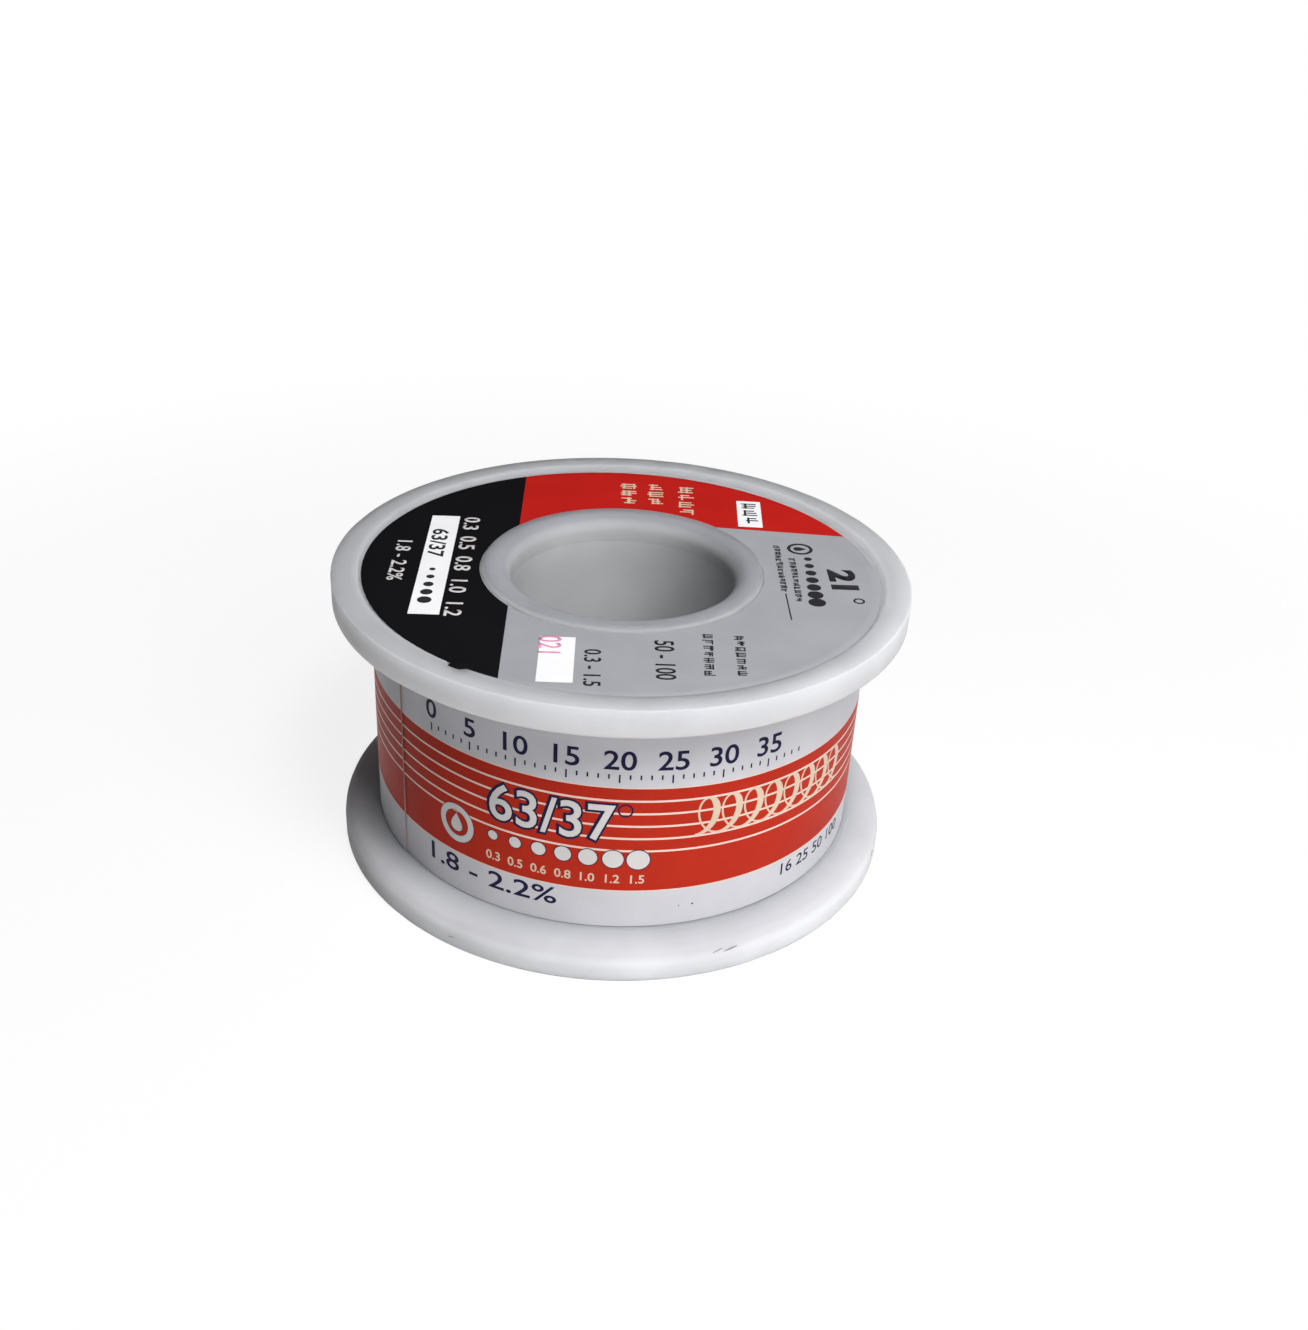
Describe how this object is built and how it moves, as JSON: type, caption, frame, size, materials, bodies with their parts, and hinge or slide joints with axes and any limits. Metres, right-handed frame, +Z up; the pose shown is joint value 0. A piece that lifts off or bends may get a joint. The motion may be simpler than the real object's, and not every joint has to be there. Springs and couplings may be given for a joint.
{
  "type": "solder wire spool",
  "caption": "Small flanged reel full of solder wire, with a round bore through the hub, a printed strip round the winding and a printed ring on the upper flange.",
  "frame": {"origin": "centre of the underside, on the reel's axis, at the height of the surface that it stands on", "axes": "+Z up along the reel's axis and bore, from the bare flange to the labelled flange; -Y towards the front, where the straight edges of the face label's fields are square to X and Y"},
  "size_m": [0.06, 0.06, 0.0306],
  "materials": {
    "milky_plastic": "satin translucent natural plastic",
    "solder": "drawn tin alloy wire",
    "wrap_print": "printed silver paper, satin",
    "face_print": "printed silver paper, satin"
  },
  "bodies": {
    "root": {"lower_flange_half": "milky_plastic", "upper_flange_half": "milky_plastic", "solder_inner_layers": "solder", "solder_outer_layer": "solder", "wrap_label": "wrap_print", "face_label": "face_print"}
  },
  "joints": []
}
